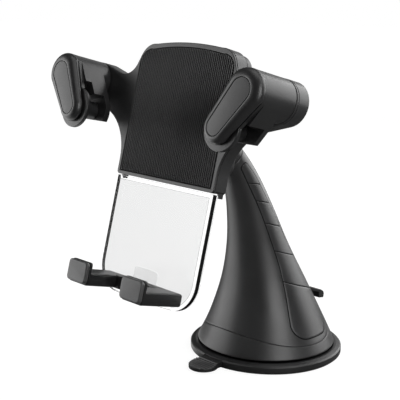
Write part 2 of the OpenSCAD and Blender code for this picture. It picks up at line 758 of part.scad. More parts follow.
// A rectangle between two corners, with rounded corners
module rounded_box(w0, u0, w1, u1, r) {
    polygon(concat(arc([w1 - r, u1 - r], r, 0, 90, 4), arc([w0 + r, u1 - r], r, 90, 180, 4),
                   arc([w0 + r, u0 + r], r, 180, 270, 4), arc([w1 - r, u0 + r], r, 270, 360, 4)));
}
module foot_bracket() {
    bar_front = -6;
    hollow_d = -12;
    color([0.12, 0.12, 0.12]) cradle_frame() difference() {
        union() {
            mirror_pair() translate([foot_inner, upright_d1 - 0.3, ledge_low_u])
                cube([foot_w, bracket_d1 - upright_d1 + 0.3, ledge_u - ledge_low_u]);
            mirror_pair() slab(upright_d0, upright_d1)
                rounded_box(foot_inner, ledge_low_u, foot_inner + foot_w, upright_top_u, 1.4);
            // crossbar with a hollow front
            translate([-foot_inner - 1, bar_front, ledge_low_u])
                cube([2 * foot_inner + 2, bracket_d1 - bar_front, ledge_u - ledge_low_u]);
        }
        translate([0, hollow_d, ledge_low_u - eps]) scale([1, 0.75, 1]) cylinder(r = foot_inner, h = 10);
        mirror_pair() rod(plate_screw_w, foot_screw_u, 0.92, -2, 5);
    }
}

module foot_pad(side) {
    pad_t = 1.85;
    edge = 0.1;
    pad_low_u = ledge_low_u + 0.7;
    color([0.4, 0.4, 0.41]) cradle_frame() mirror([side < 0 ? 1 : 0, 0, 0])
        slab(upright_d0 - 0.05 - pad_t, upright_d0 - 0.05)
            rounded_box(foot_inner + edge, pad_low_u, foot_inner + foot_w - edge, upright_top_u - 0.2, 2);
}
module foot_pad_right() { foot_pad(1); }
module foot_pad_left() { foot_pad(-1); }

// ---- one line per node ----
suction_cup();
base_plate();
skirt_ring();
cone_shell();
grip_strip_right();
grip_strip_left();
neck_collar();
ball_stud();
cup_spring();
cup_post();
lever_pin();
vacuum_lever();
ball_head();
socket_liner();
lock_nut();
front_cover();
ribbed_pad();
body_housing();
rear_cover();
ball_socket();
cover_screws();
housing_screws();
idler_pins();
return_spring();
clear_plate();
slider_carriage();
carriage_screws();
foot_bracket();
foot_pad_right();
foot_pad_left();
idler_gear_right();
idler_gear_left();
arm_gear_right();
arm_shaft_right();
arm_housing_right();
arm_flange_right();
clamp_post_right();
arm_pad_right();
arm_inlay_right();
arm_gear_left();
arm_shaft_left();
arm_housing_left();
arm_flange_left();
clamp_post_left();
arm_pad_left();
arm_inlay_left();
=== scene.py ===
"""Looks of a car phone mount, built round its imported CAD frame.

Lengths are in mm until the placing matrices turn them into metres.
"""

import json
import math

import bmesh
import bpy
from mathutils import Matrix, Vector


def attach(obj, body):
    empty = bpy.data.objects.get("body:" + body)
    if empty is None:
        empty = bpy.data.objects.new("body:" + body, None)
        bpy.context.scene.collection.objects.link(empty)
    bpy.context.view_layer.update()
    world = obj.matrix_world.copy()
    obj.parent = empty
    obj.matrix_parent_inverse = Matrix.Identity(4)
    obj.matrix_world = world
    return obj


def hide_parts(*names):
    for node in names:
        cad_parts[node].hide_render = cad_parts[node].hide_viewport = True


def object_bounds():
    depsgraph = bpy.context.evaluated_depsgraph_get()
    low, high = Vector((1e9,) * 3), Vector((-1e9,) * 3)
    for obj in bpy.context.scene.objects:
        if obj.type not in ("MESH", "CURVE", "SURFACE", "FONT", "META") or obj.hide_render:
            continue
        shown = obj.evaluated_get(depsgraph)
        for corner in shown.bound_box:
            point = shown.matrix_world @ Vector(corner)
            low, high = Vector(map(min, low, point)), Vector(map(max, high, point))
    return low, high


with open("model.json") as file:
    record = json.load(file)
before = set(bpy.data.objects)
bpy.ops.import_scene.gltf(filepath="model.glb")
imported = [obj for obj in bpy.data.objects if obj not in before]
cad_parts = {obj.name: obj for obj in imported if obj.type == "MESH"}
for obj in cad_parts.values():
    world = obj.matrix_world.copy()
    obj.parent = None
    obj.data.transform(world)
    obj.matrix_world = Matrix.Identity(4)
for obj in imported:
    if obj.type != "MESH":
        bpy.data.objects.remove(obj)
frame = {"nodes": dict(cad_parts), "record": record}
cad_low, cad_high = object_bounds()

MM = 0.001
RECORD = frame["record"]
BODY_OF = {n: body for body, nodes in RECORD["behaviour"]["bodies"].items() for n in nodes}
SLOT_OF = {part["node"]: part["material_slot"] for part in RECORD["subparts"]}
SIDES = {"right": 1, "left": -1}

# ---- camera ----
CAMERA_AZIMUTH = math.radians(45.96)
CAMERA_ELEVATION = math.radians(11.756)
CAMERA_ROLL = math.radians(0.939)
CAMERA_LENS = 83.4
# The object's origin seen from the camera: to the right, up and ahead, in mm
ORIGIN_FROM_CAMERA = (35.54, -79.78, 504.68)


def add_camera():
    """The camera at the picture's viewing angle."""
    azimuth, elevation, roll = CAMERA_AZIMUTH, CAMERA_ELEVATION, CAMERA_ROLL
    back = Vector((
        math.sin(azimuth) * math.cos(elevation),
        -math.cos(azimuth) * math.cos(elevation),
        math.sin(elevation),
    ))
    level_right = (-back).cross(Vector((0, 0, 1))).normalized()
    level_up = level_right.cross(-back)
    right = math.cos(roll) * level_right + math.sin(roll) * level_up
    up = -math.sin(roll) * level_right + math.cos(roll) * level_up
    across, above, ahead = (length * MM for length in ORIGIN_FROM_CAMERA)
    data = bpy.data.cameras.new("camera")
    data.lens = CAMERA_LENS
    data.clip_start = 0.01
    camera = bpy.data.objects.new("camera", data)
    bpy.context.scene.collection.objects.link(camera)
    camera.matrix_world = (
        Matrix.Translation(-(across * right + above * up - ahead * back))
        @ Matrix((right, up, back)).transposed().to_4x4()
    )
    bpy.context.scene.camera = camera


# ---- materials ----
class Graph:
    """A material's node tree, with short calls to add and join nodes."""

    def __init__(self, name):
        self.material = bpy.data.materials.new(name)
        self.material.use_nodes = True
        self.tree = self.material.node_tree
        self.shader = self.tree.nodes["Principled BSDF"]
        self.place = self.add("ShaderNodeTexCoord").outputs["Object"]

    def add(self, kind, **settings):
        node = self.tree.nodes.new(kind)
        for key, value in settings.items():
            setattr(node, key, value)
        return node

    def join(self, source, target):
        self.tree.links.new(source, target)

    def noise(self, scale, detail=2.0, roughness=0.5, stretch=None):
        """Noise over the object; stretch is a scale for each axis."""
        node = self.add("ShaderNodeTexNoise")
        node.inputs["Scale"].default_value = scale
        node.inputs["Detail"].default_value = detail
        node.inputs["Roughness"].default_value = roughness
        place = self.place
        if stretch:
            mapping = self.add("ShaderNodeMapping")
            mapping.inputs["Scale"].default_value = stretch
            self.join(place, mapping.inputs["Vector"])
            place = mapping.outputs["Vector"]
        self.join(place, node.inputs["Vector"])
        return node.outputs["Fac"]

    def ranged(self, value, low, high, from_low=0.3, from_high=0.7):
        """The value from one range put into another."""
        node = self.add("ShaderNodeMapRange")
        limits = {"From Min": from_low, "From Max": from_high, "To Min": low, "To Max": high}
        for key, number in limits.items():
            node.inputs[key].default_value = number
        self.join(value, node.inputs["Value"])
        return node.outputs["Result"]

    def math(self, operation, first, second):
        node = self.add("ShaderNodeMath", operation=operation)
        for i, value in enumerate((first, second)):
            if isinstance(value, (int, float)):
                node.inputs[i].default_value = value
            else:
                self.join(value, node.inputs[i])
        return node.outputs[0]

    def mix(self, share, first, second):
        """A colour between two colours."""
        node = self.add("ShaderNodeMix", data_type="RGBA")
        self.join(share, node.inputs["Factor"])
        for socket, value in ((node.inputs[6], first), (node.inputs[7], second)):
            if isinstance(value, tuple):
                socket.default_value = (*value, 1)
            else:
                self.join(value, socket)
        return node.outputs[2]

    def edges(self, radius):
        """1 along sharp outer and inner edges and 0 on flat faces."""
        bevel = self.add("ShaderNodeBevel", samples=4)
        bevel.inputs["Radius"].default_value = radius * MM
        geometry = self.add("ShaderNodeNewGeometry")
        dot = self.add("ShaderNodeVectorMath", operation="DOT_PRODUCT")
        self.join(bevel.outputs["Normal"], dot.inputs[0])
        self.join(geometry.outputs["Normal"], dot.inputs[1])
        return self.ranged(dot.outputs["Value"], 1, 0, 0.86, 0.995)

    def bump(self, *heights):
        """Bump from pairs of a height and its size in mm, one over the other."""
        normal = None
        for height, size in heights:
            node = self.add("ShaderNodeBump")
            node.inputs["Distance"].default_value = size * MM
            self.join(height, node.inputs["Height"])
            if normal:
                self.join(normal, node.inputs["Normal"])
            normal = node.outputs["Normal"]
        self.join(normal, self.shader.inputs["Normal"])

    def paint(self, colour, roughness):
        self.join(colour, self.shader.inputs["Base Color"])
        self.join(roughness, self.shader.inputs["Roughness"])


def shade(colour, factor):
    return tuple(min(1.0, c * factor) for c in colour)


def moulded(name, colour, roughness, grain=0.5, grain_depth=0.02, scuff_and_sheen=0.5, shine=0.5):
    """Moulded plastic or rubber: fine spark-eroded grain, slight mottling, and lighter edges that are part
    wear and part painted highlight.
    grain is the grain's size in mm, and shine the shader's specular level."""
    graph = Graph(name)
    fine = graph.noise(1 / (grain * MM), detail=3, roughness=0.6)
    broad = graph.noise(45, detail=4, roughness=0.6)
    specks = graph.noise(700, detail=2, roughness=0.7)
    body = graph.mix(graph.ranged(broad, 0, 1), shade(colour, 0.86), shade(colour, 1.16))
    dusty = graph.mix(graph.ranged(specks, 0, 0.35, 0.55, 0.8), body, shade(colour, 1.7))
    # edges made lighter: part scuffing and part painted highlight along the edges
    scuffed_and_sheen_edges = graph.math("MULTIPLY", graph.edges(0.5), graph.ranged(broad, 0.45 * scuff_and_sheen, scuff_and_sheen))
    rough_spread = graph.ranged(broad, -0.04, 0.05)
    rough_grain = graph.ranged(fine, roughness - 0.03, roughness + 0.05)
    graph.paint(graph.mix(scuffed_and_sheen_edges, dusty, shade(colour, 2.6)), graph.math("ADD", rough_spread, rough_grain))
    graph.bump((fine, grain_depth), (broad, 0.03))
    graph.shader.inputs["Specular IOR Level"].default_value = shine
    return graph.material


def clear_plastic(name, tint, haze=(0.04, 0.1), waves=(0.001, 0.008)):
    """Clear acrylic with faint hairline scratches and moulding flow. haze is its range of roughness, and
    waves the depths of its scratches and flow in mm."""
    graph = Graph(name)
    scratches = graph.noise(260, detail=2, stretch=(0.05, 1, 1.6))
    flow = graph.noise(25, detail=3)
    graph.paint(
        graph.mix(graph.ranged(flow, 0, 1), shade((0.985, 0.99, 0.99), tint), shade((1.0, 1.0, 1.0), tint)),
        graph.ranged(scratches, *haze),
    )
    graph.bump((scratches, waves[0]), (flow, waves[1]))
    graph.shader.inputs["Transmission Weight"].default_value = 1.0
    graph.shader.inputs["IOR"].default_value = 1.12
    return graph.material


def turned_steel(name, colour=(0.55, 0.56, 0.58)):
    """Turned or drawn steel with fine tool marks."""
    graph = Graph(name)
    marks = graph.noise(900, detail=2, stretch=(1, 0.08, 1))
    stains = graph.noise(120, detail=4)
    graph.paint(
        graph.mix(graph.ranged(stains, 0, 1), shade(colour, 0.8), colour),
        graph.ranged(marks, 0.24, 0.42),
    )
    graph.bump((marks, 0.006), (stains, 0.01))
    graph.shader.inputs["Metallic"].default_value = 1.0
    return graph.material


MATERIALS = {
    "shell_plastic": moulded("shell_plastic", (0.013, 0.013, 0.0133), 0.35, scuff_and_sheen=0.3),
    "cradle_plastic": moulded("cradle_plastic", (0.018, 0.018, 0.0184), 0.36, scuff_and_sheen=0.4),
    "arm_plastic": moulded("arm_plastic", (0.013, 0.013, 0.0133), 0.34, scuff_and_sheen=0.35),
    "inlay_plastic": moulded("inlay_plastic", (0.014, 0.014, 0.0144), 0.38, grain=0.35, scuff_and_sheen=0.2),
    "inner_plastic": moulded("inner_plastic", (0.02, 0.02, 0.021), 0.5, scuff_and_sheen=0.3),
    "gear_nylon": moulded("gear_nylon", (0.62, 0.6, 0.54), 0.42, grain=0.4, scuff_and_sheen=0.1),
    "grip_rubber": moulded("grip_rubber", (0.012, 0.012, 0.0124), 0.36, grain=0.4, scuff_and_sheen=0.2),
    "pad_rubber": moulded("pad_rubber", (0.027, 0.027, 0.0274), 0.4, grain=0.3, scuff_and_sheen=0.5),
    "cup_rubber": moulded("cup_rubber", (0.009, 0.009, 0.0093), 0.38, grain=0.6, scuff_and_sheen=0.35),
    "foot_rubber": moulded("foot_rubber", (0.043, 0.043, 0.044), 0.4, grain=0.4, scuff_and_sheen=0.2),
    "clear_plastic": clear_plastic("clear_plastic", 1.0),
    "steel": turned_steel("steel"),
}
PLATE_FACE = clear_plastic("plate_face", 0.62, (0.006, 0.018), (0.0003, 0.004))
PLATE_LINE = clear_plastic("plate_line", 0.5)
PLATE_PATCH = clear_plastic("plate_patch", 0.88)
# near-black band in the clear plate's side wall: painted shade
PLATE_WALL_SHADE = moulded("plate_wall_painted_shade", (0.005, 0.005, 0.0053), 0.4, grain=0.8, scuff_and_sheen=0.1, shine=0.1)
FOOT_DARK = moulded("foot_dark", (0.011, 0.011, 0.0113), 0.42, scuff_and_sheen=0.3, shine=0.22)
# a lighter copy of the cup's rubber for the tab's ribs: painted highlight
RIB_HIGHLIGHT_RUBBER = moulded("tab_rib_highlight", (0.05, 0.05, 0.051), 0.45, grain=0.4, scuff_and_sheen=0.1)
# near-black material: painted shade in the strip's grooves and between the pad's ribs
GROOVE_PAINTED_SHADE = moulded("groove_painted_shade", (0.003, 0.003, 0.0032), 0.7, grain=0.4, scuff_and_sheen=0.1, shine=0.1)


# ---- placing ----
CRADLE_LEAN = math.radians(14)
CRADLE = (
    Matrix.Scale(MM, 4)
    @ Matrix.Translation((0, -75.9, 100.3))
    @ Matrix.Rotation(-CRADLE_LEAN, 4, "X")
)
WORLD = Matrix.Scale(MM, 4)
PIVOT_W = 61.2
PIVOT_U = 43.3
ARM_TILT = math.radians(34)


def arm_place(side):
    """The arm's own frame: pivot at the origin, lower end straight down."""
    return (
        CRADLE
        @ Matrix.Translation((side * PIVOT_W, 0, PIVOT_U))
        @ Matrix.Rotation(side * ARM_TILT, 4, "Y")
    )


# ---- outlines and mesh forms ----
def arc(centre, radius, start, end, steps=10):
    """Points on an arc, angles in degrees."""
    angles = [math.radians(start + (end - start) * i / steps) for i in range(steps + 1)]
    return [(centre[0] + radius * math.cos(a), centre[1] + radius * math.sin(a)) for a in angles]


def mirrored(points):
    return [(-x, y) for x, y in reversed(points)]


def both_halves(half):
    """A closed outline from its right half, which ends on the middle line."""
    return half + mirrored(half[:-1])


def filleted(points, radius, steps=4):
    """A closed outline with each corner rounded, less where its sides are short."""
    result = []
    for i, corner in enumerate(points):
        here = Vector(corner)
        before, after = Vector(points[i - 1]) - here, Vector(points[(i + 1) % len(points)]) - here
        if before.length < 1e-6 or after.length < 1e-6:
            continue
        bend = before.angle(after)
        if bend > math.radians(176):
            result.append(tuple(here))
            continue
        reach = min(radius / math.tan(bend / 2), 0.45 * before.length, 0.45 * after.length)
        start, end = here + before.normalized() * reach, here + after.normalized() * reach
        for k in range(steps + 1):
            t = k / steps
            result.append(tuple(start * (1 - t) ** 2 + here * 2 * t * (1 - t) + end * t ** 2))
    return result


def smooth_edges(mesh, angle=35):
    mesh.shade_smooth()
    mesh.set_sharp_from_angle(angle=math.radians(angle))


def apply_modifiers(piece):
    """The piece's mesh with its modifiers in it, and no modifiers left."""
    bpy.context.view_layer.update()
    shape = bpy.data.meshes.new_from_object(piece.evaluated_get(bpy.context.evaluated_depsgraph_get()))
    old = piece.data
    piece.modifiers.clear()
    piece.data = shape
    bpy.data.meshes.remove(old)


def add_piece(name, points, faces, place, nodes, material=None, angle=35):
    """A new piece that stands for CAD nodes and rides on their body."""
    mesh = bpy.data.meshes.new(name)
    mesh.from_pydata([place @ Vector(p) for p in points], [], faces)
    mesh.validate()
    bm = bmesh.new()
    bm.from_mesh(mesh)
    bmesh.ops.remove_doubles(bm, verts=bm.verts, dist=1e-6)
    bmesh.ops.recalc_face_normals(bm, faces=bm.faces)
    bm.to_mesh(mesh)
    bm.free()
    smooth_edges(mesh, angle)
    piece = bpy.data.objects.new(name, mesh)
    bpy.context.scene.collection.objects.link(piece)
    mesh.materials.append(material or MATERIALS[SLOT_OF[nodes[0]]])
    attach(piece, BODY_OF[nodes[0]])
    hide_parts(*nodes)
    return piece


def loft(rings, caps=True, loop=False):
    """Points and faces of a skin through closed rings of equal length; loop joins the last to the first."""
    count = len(rings[0])
    points = [p for ring in rings for p in ring]
    faces = []
    for j in range(len(rings) if loop else len(rings) - 1):
        low, high = j * count, ((j + 1) % len(rings)) * count
        for i in range(count):
            k = (i + 1) % count
            faces.append((low + i, low + k, high + k, high + i))
    if caps and not loop:
        faces.append(tuple(range(count - 1, -1, -1)))
        faces.append(tuple(range(len(points) - count, len(points))))
    return points, faces


def joined(*shapes):
    """Several shapes' points and faces as one."""
    points, faces = [], []
    for shape_points, shape_faces in shapes:
        base = len(points)
        points += list(shape_points)
        faces += [tuple(i + base for i in face) for face in shape_faces]
    return points, faces


def slab(outline, profile):
    """A slab along the depth. outline(inset) gives its shape, and profile its insets and depths."""
    return loft([[(x, depth, z) for x, z in outline(inset)] for inset, depth in profile])


def round_profile(front, back, front_radius, back_radius, steps=5):
    """Insets and depths of a slab with rounded front and back edges."""
    turn = [math.pi / 2 * k / steps for k in range(steps + 1)]
    return (
        [(front_radius * (1 - math.sin(t)), front + front_radius * (1 - math.cos(t))) for t in turn]
        + [(back_radius * (1 - math.cos(t)), back - back_radius * (1 - math.sin(t))) for t in turn]
    )


def lathe(profile, steps=128):
    """A closed profile of radius and height turned about Z."""
    rings = []
    for k in range(steps):
        a = 2 * math.pi * k / steps
        rings.append([(r * math.cos(a), r * math.sin(a), z) for r, z in profile])
    return loft(rings, loop=True)


def bevelled(node, width, sharp=30, smooth=40):
    """A copy of a CAD node's shape with its sharp edges rounded, which stands for the node.
    Edges bent by more than smooth, in degrees, stay sharp in the shading."""
    mesh = frame["nodes"][node].data.copy()
    mesh.materials.clear()
    bm = bmesh.new()
    bm.from_mesh(mesh)
    bmesh.ops.remove_doubles(bm, verts=bm.verts, dist=2e-6)
    bmesh.ops.dissolve_limit(bm, angle_limit=math.radians(0.6), verts=bm.verts, edges=bm.edges)
    bm.to_mesh(mesh)
    bm.free()
    piece = bpy.data.objects.new(node + "_moulded", mesh)
    bpy.context.scene.collection.objects.link(piece)
    edges = piece.modifiers.new("edges", "BEVEL")
    edges.width = width * MM
    edges.segments = 3
    edges.limit_method = "ANGLE"
    edges.angle_limit = math.radians(sharp)
    edges.use_clamp_overlap = False
    apply_modifiers(piece)
    smooth_edges(piece.data, smooth)
    weighted = piece.modifiers.new("normals", "WEIGHTED_NORMAL")
    weighted.keep_sharp = True
    weighted.weight = 90
    apply_modifiers(piece)
    piece.data.materials.clear()
    piece.data.materials.append(MATERIALS[SLOT_OF[node]])
    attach(piece, BODY_OF[node])
    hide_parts(node)
    return piece


# ---- base: the cone ----
# Each row: y and z of the middle, radius, and how far the section leans forward in degrees
CONE_STATIONS = [
    (0, 5.8, 36.9, 0), (-0.4, 20, 30.3, 0), (-3.4, 40, 22.4, 0), (-8.8, 60, 16.2, 0),
    (-15.6, 80, 11.9, 6), (-23.2, 96.5, 8.8, 24), (-30.4, 108, 6.7, 46.8),
]
CONE_TOP = len(CONE_STATIONS) - 1
CONE_SIDES = 144
SHELL_WALL = 2.0
# About how many mm one place spans near the foot
FOOT_PLACE_MM = 17
SEAM_LOW_Z = 11.4
SEAM_RISE = 6.2


def along(rows, place):
    """Smooth curve through rows of numbers, place counted in rows."""
    i = max(0, min(int(place), len(rows) - 2))
    t = place - i
    p1, p2 = Vector(rows[i]), Vector(rows[i + 1])
    p0 = Vector(rows[i - 1]) if i > 0 else 2 * p1 - p2
    p3 = Vector(rows[i + 2]) if i + 2 < len(rows) else 2 * p2 - p1
    return 0.5 * (
        2 * p1 + t * (p2 - p0)
        + t * t * (2 * p0 - 5 * p1 + 4 * p2 - p3)
        + t ** 3 * (3 * p1 - p0 - 3 * p2 + p3)
    )


def cone_point(place, angle, inset=0.0):
    """A point on the cone, angle from +X in radians and inset under the surface."""
    y, z, radius, lean = along(CONE_STATIONS, place)
    r, lean = radius - inset, math.radians(lean)
    return (
        r * math.cos(angle),
        y + r * math.sin(angle) * math.cos(lean),
        z + r * math.sin(angle) * math.sin(lean),
    )


def place_of_z(z):
    """The place in the lowest stretch of the cone at a height."""
    return (z - CONE_STATIONS[0][1]) / (CONE_STATIONS[1][1] - CONE_STATIONS[0][1])


def seam_place(angle):
    return place_of_z(SEAM_LOW_Z + SEAM_RISE * math.sin(angle) ** 2)


def cone_band(low, high, rows, low_lip, high_lip):
    """Part of the cone's shell from place low to high, both functions of the angle, with rounded lips."""
    low_reach, high_reach = low_lip / FOOT_PLACE_MM, high_lip / FOOT_PLACE_MM
    turn = [math.pi / 2 * k / 4 for k in range(5)]
    rings = []
    for k in range(CONE_SIDES):
        a = -2 * math.pi * k / CONE_SIDES
        start, end = low(a), high(a)
        outer = [
            (start + low_reach * (1 - math.sin(t)), low_lip * (1 - math.cos(t))) for t in reversed(turn)
        ]
        first, last = start + low_reach, end - high_reach
        outer += [(first + (last - first) * j / rows, 0) for j in range(1, rows)]
        outer += [(end - high_reach * (1 - math.sin(t)), high_lip * (1 - math.cos(t))) for t in turn]
        inner = [(start + (end - start) * j / rows, SHELL_WALL) for j in range(rows, -1, -1)]
        rings.append([cone_point(s, a, inset) for s, inset in outer + inner])
    return loft(rings, loop=True)


def cut_box(piece, low, high):
    """Cuts a box, in mm, out of a piece."""
    corners = [(x, y, z) for x in (low[0], high[0]) for y in (low[1], high[1]) for z in (low[2], high[2])]
    mesh = bpy.data.meshes.new("cutter")
    mesh.from_pydata(
        [WORLD @ Vector(c) for c in corners], [],
        [(0, 1, 3, 2), (4, 6, 7, 5), (0, 4, 5, 1), (2, 3, 7, 6), (0, 2, 6, 4), (1, 5, 7, 3)],
    )
    cutter = bpy.data.objects.new("cutter", mesh)
    bpy.context.scene.collection.objects.link(cutter)
    cut = piece.modifiers.new("cut", "BOOLEAN")
    cut.object = cutter
    cut.operation = "DIFFERENCE"
    cut.solver = "EXACT"
    apply_modifiers(piece)
    bpy.data.objects.remove(cutter)
    smooth_edges(piece.data, 35)


LEVER_SLOT = ((-7.6, 18, 7.8), (7.6, 48, 32.5))


def build_cone():
    seam_gap, seam_lip, top_lip = 0.18, 0.2, 0.45
    skirt = cone_band(lambda a: 0.0, lambda a: seam_place(a) - seam_gap / FOOT_PLACE_MM, 10, 0.85, seam_lip)
    skirt = add_piece("skirt", *skirt, WORLD, ["skirt_ring"])
    cut_box(skirt, *LEVER_SLOT)
    shell = cone_band(seam_place, lambda a: CONE_TOP, 72, seam_lip, top_lip)
    shell = add_piece("cone", *shell, WORLD, ["cone_shell"])
    cut_box(shell, *LEVER_SLOT)


# Each row: place along the cone, and angle from +X of the front and rear edge in degrees
STRIP_ROWS = [
    (0.64, 21, -29), (1.15, 22, -32), (1.75, 19.5, -38.5), (2.7, 15.5, -36), (3.5, 16.5, -26),
    (4.3, 19, -19.5), (5.0, 21.5, -17.5), (5.7, 20, -10),
]
STRIP_LOW, STRIP_HIGH = STRIP_ROWS[0][0], STRIP_ROWS[-1][0]
STRIP_LOW_R = 8.5
STRIP_HIGH_R = 1.6
STRIP_PROUD = 0.14
# Cross grooves: place at the strip's front and rear edge
STRIP_GROOVES = [(2.17, 1.77), (2.96, 2.7), (3.69, 3.5), (4.35, 4.16), (4.97, 4.73)]
# Distances in from an edge, in mm, where a patch gets closer points
EDGE_STEPS = (0.0, 0.05, 0.12, 0.25)


def place_length(place):
    """How many mm along the cone one place is."""
    step = 0.05
    change = along(CONE_STATIONS, place + step) - along(CONE_STATIONS, place - step)
    return Vector(change[:3]).length / (2 * step)


def end_inset(radius, away):
    """How far an edge moves in by a rounded end, at a distance from the end."""
    away = max(0.0, min(radius, away))
    return radius - math.sqrt(radius ** 2 - (radius - away) ** 2)


def strip_edges(place, margin=0.0):
    """Angles of the strip's front and rear edge at a place, and its width in mm."""
    i = max(k for k in range(len(STRIP_ROWS) - 1) if STRIP_ROWS[k][0] <= place or k == 0)
    share = (place - STRIP_ROWS[i][0]) / (STRIP_ROWS[i + 1][0] - STRIP_ROWS[i][0])
    front, rear = along(STRIP_ROWS, i + max(0.0, min(1.0, share)))[1:]
    length = place_length(place)
    inset = -margin
    inset += end_inset(STRIP_LOW_R, margin + (place - STRIP_LOW) * length)
    inset += end_inset(STRIP_HIGH_R, margin + (STRIP_HIGH - place) * length)
    radius = along(CONE_STATIONS, place)[2]
    turn = inset / radius
    front, rear = math.radians(front) - turn, math.radians(rear) + turn
    return -front, -rear, max(0.02, radius * (front - rear))


def spaced(length, count):
    """Positions from 0 to 1 along a length in mm, closer together near both ends."""
    ends = [step / length for step in EDGE_STEPS]
    inner = [ends[-1] + (1 - 2 * ends[-1]) * i / count for i in range(1, count)]
    return ends + inner + [1 - end for end in reversed(ends)]


def strip_patch(side, low, high, margin, height_of, count):
    """A patch of the strip between two places, each a pair for its front and rear edge.
    margin widens it in mm, and height_of gives its height from how far in a point is from the edges."""
    middle = (low[0] + high[1]) / 2
    columns = spaced(strip_edges(middle)[2], 22)
    rows = spaced((high[0] - low[0]) * place_length(middle), count)
    top, under = [], []
    for down in rows:
        for across in columns:
            start = low[0] + (low[1] - low[0]) * across
            end = high[0] + (high[1] - high[0]) * across
            place = start + (end - start) * down
            front, rear, width = strip_edges(place, margin)
            length = place_length(place)
            inside = min(
                min(across, 1 - across) * width,
                (place - start) * length, (end - place) * length,
            )
            angle = front + (rear - front) * across
            height = height_of(min(1.0, inside / EDGE_STEPS[-1]))
            for points, inset in ((top, -height), (under, 0.2)):
                x, y, z = cone_point(place, angle, inset)
                points.append((side * x, y, z))
    total, width = len(top), len(columns)
    faces = []
    for j in range(len(rows) - 1):
        for i in range(width - 1):
            quad = (j * width + i, j * width + i + 1, (j + 1) * width + i + 1, (j + 1) * width + i)
            faces += [quad, tuple(total + k for k in reversed(quad))]
    last = (len(rows) - 1) * width
    rim = (
        list(range(width - 1)) + list(range(width - 1, last + width - 1, width))
        + list(range(last + width - 1, last, -1)) + list(range(last, 0, -width))
    )
    for k, here in enumerate(rim):
        there = rim[(k + 1) % len(rim)]
        faces.append((here, total + here, total + there, there))
    return top + under, faces


def build_strip(name, side):
    """A bed on the cone in near-black, painted shade for the grooves round and between the soft segments,
    and on it the segments with a gap between each and the next.
    """
    node = f"grip_strip_{name}"
    groove, gap = 0.5, 0.24
    reach = groove / place_length(STRIP_LOW)
    low, high = STRIP_LOW - reach, STRIP_HIGH + groove / place_length(STRIP_HIGH)
    bed = strip_patch(side, (low, low), (high, high), groove, lambda rise: 0.03 * rise, 150)
    # the bed is painted near-black as the grooves' shade
    add_piece(f"strip_bed_{name}", *bed, WORLD, [node], GROOVE_PAINTED_SHADE, 60)
    limits = [(STRIP_LOW, STRIP_LOW)] + STRIP_GROOVES + [(STRIP_HIGH, STRIP_HIGH)]
    for k, (low, high) in enumerate(zip(limits, limits[1:])):
        low = tuple(v + (gap / place_length(v) if k else 0) for v in low)
        high = tuple(v - (gap / place_length(v) if k < len(limits) - 2 else 0) for v in high)
        patch = strip_patch(
            side, low, high, 0, lambda rise: 0.04 + (STRIP_PROUD - 0.04) * math.sin(rise * math.pi / 2), 34,
        )
        add_piece(f"strip_{name}_{k + 1}", *patch, WORLD, [node], angle=60)


# ---- base: the cup ----
CUP_R = 40.6
CUP_RIM_H = 4.4
TAB_LOW_Z = 0.7
TAB_HIGH_Z = 2.5
TAB_RIB_H = 0.4


def build_cup():
    profile = filleted([
        (0.01, 0.5), (CUP_R - 9, 0.5), (CUP_R - 8.4, 0), (CUP_R - 1, 0), (CUP_R, 0.9),
        (CUP_R, CUP_RIM_H - 0.7), (CUP_R - 0.6, CUP_RIM_H), (CUP_R - 2.6, CUP_RIM_H + 0.6),
        (CUP_R - 4, CUP_RIM_H + 0.6), (CUP_R - 6, 2.4), (0.01, 2.4),
    ], 0.35)
    add_piece("cup", *lathe(profile, 144), WORLD, ["suction_cup"])
    build_tab()


def build_tab():
    """The pull tab: a rounded tongue with round-topped ribs across it, the ribs in a lighter rubber as
    painted highlight.
    """
    tip_y, half_w, neck_w, root_y = -47.0, 7.5, 6.3, -38.8
    slope_start_y, root_rise = -52.0, 2.0

    def outline(inset):
        # drawn in x and y; the neck is narrower than the round tip
        neck = neck_w - inset
        turn = math.degrees(math.asin(neck / (half_w - inset)))
        return (
            arc((0, tip_y), half_w - inset, 90 - turn, -270 + turn, 48)
            + [(-neck, root_y), (neck, root_y)]
        )

    def raised(points):
        """The points with the tab's top sloping up to the rim near the root."""
        result = []
        for x, y, z in points:
            near = max(0.0, min(1.0, (y - slope_start_y) / (root_y - slope_start_y)))
            result.append((x, y, z + (root_rise * near * near if z > TAB_HIGH_Z - 0.2 else 0)))
        return result

    edge, rib_count, pitch, rib_w, first_rib, sunk = 0.3, 7, 1.6, 0.95, 1.4, 0.1
    levels = round_profile(TAB_LOW_Z, TAB_HIGH_Z, edge, 0.15, 4)
    rows = [[(x, y, z) for x, y in outline(inset)] for inset, z in levels]
    steepness = (TAB_RIB_H + sunk) / (rib_w / 2)
    ribs = []
    for i in range(rib_count):
        y = tip_y - half_w + first_rib + i * pitch
        round_half = math.sqrt(max(0.1, half_w ** 2 - (y - tip_y) ** 2))
        half = (round_half if y < tip_y else max(round_half, neck_w)) - 0.1
        rings = []
        for x, size in (
            (-half, 0.5), (0.1 - half, 0.9), (0.3 - half, 1),
            (half - 0.3, 1), (half - 0.1, 0.9), (half, 0.5),
        ):
            half_ring = arc((0, 0), rib_w / 2 * size, 0, 180, 8)
            rings.append([(x, y + py, TAB_HIGH_Z - sunk + steepness * pz) for py, pz in half_ring])
        ribs.append(loft(rings))
    points, faces = loft(rows)
    add_piece("cup_tab", raised(points), faces, WORLD, ["suction_cup"])
    points, faces = joined(*ribs)
    # the ribs take the lighter rubber, a painted highlight
    add_piece("cup_tab_ribs", raised(points), faces, WORLD, ["suction_cup"], RIB_HIGHLIGHT_RUBBER)


